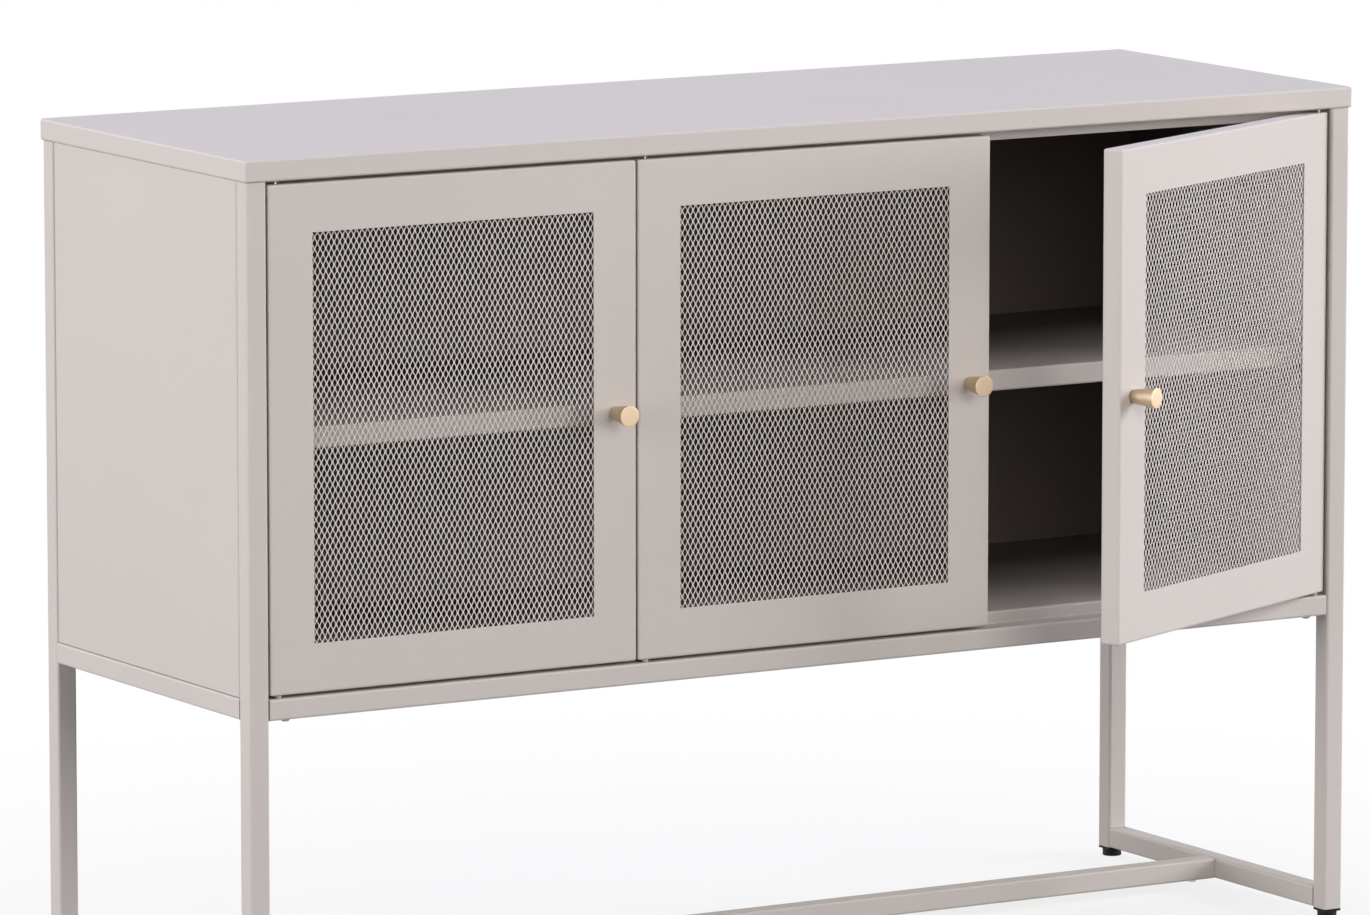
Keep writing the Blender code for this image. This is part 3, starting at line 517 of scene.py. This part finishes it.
def photo_camera():
    """Camera where the photographer stood: left of the front, a little above the top."""
    lens = bpy.data.cameras.new("photo_camera")
    lens.sensor_fit, lens.sensor_width, lens.lens = "HORIZONTAL", CAMERA_FRAME, CAMERA_LENS
    camera = bpy.data.objects.new("photo_camera", lens)
    bpy.context.scene.collection.objects.link(camera)
    camera.location = CAMERA_PLACE
    camera.rotation_euler = (math.radians(90 - CAMERA_PITCH), 0, math.radians(-CAMERA_YAW))
    bpy.context.scene.camera = camera


# Room inside the cabinet that gets the painted shade: from the door stop back, and out to the middle of the sheets
# round it
inside_low = Vector((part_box("left_side_panel")[0].x + SHEET / 2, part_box("top_door_stop")[0].y,
                     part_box("floor_tray")[1].z - SHEET / 2))
inside_high = Vector((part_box("right_side_panel")[1].x - SHEET / 2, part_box("back_panel")[0].y + SHEET / 2,
                      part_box("top_panel")[1].z - SHEET / 2))
coat = powder_coat("greige_powder_coat", "C8C1BB", "CDC6C0", (inside_low, inside_high))
door_coat = powder_coat("greige_door_coat", "C8C1BB", "CDC6C0")
# Same coat as the doors, painted lighter: a painted highlight for the light that the thin strands catch
mesh_coat = powder_coat("greige_mesh_coat", "D2CCC6", "D9D3CD")
brass = champagne_brass()
zinc = zinc_plate()
black = moulded("black_polypropylene", "0C0C0C", "161616", 0.4 * MM, 0.6, 0.2)
nylon = moulded("natural_nylon", "A8A39B", "B4AFA7", 0.5 * MM, 0.45)
ferrite = moulded("dark_ferrite", "333335", "404043", 0.4 * MM, 0.6)

for door in DOORS:
    expanded_metal(door, mesh_coat)
    knob(door, brass)
for body in frame["bodies"]:
    if body.endswith("_foot"):
        levelling_foot(body, black)
for side, way in (("left", -1), ("right", 1)):
    rail_bolt(side + "_front_rail_bolt", way * BOLT_OUT, door_coat)
    rail_tab(side + "_front_rail_tab", way, door_coat)
carry_over((
    (("screw", "pin", "clip", "bolt", "tongue"), zinc), (("bush",), nylon), (("cap",), black),
    (("magnet",), ferrite), (("door_pan",), door_coat), (("",), coat)))

studio_floor()
studio_world("FFFFFF", 0.15)
softbox("left_softbox", -80, 14, 3.7, 259, "FBFAFF")
softbox("right_softbox", 64, 15, 2.9, 272, "F7F7FF")
softbox("front_softbox", 4, 19, 3.0, 131, "FFF9F3")
softbox("top_softbox", 180, 80, 3.7, 168, "CFD9FF")
softbox("rear_softbox", -165, 10, 2.6, 165, "FFF4EA")
photo_camera()
bpy.context.scene.view_settings.view_transform = "Standard"
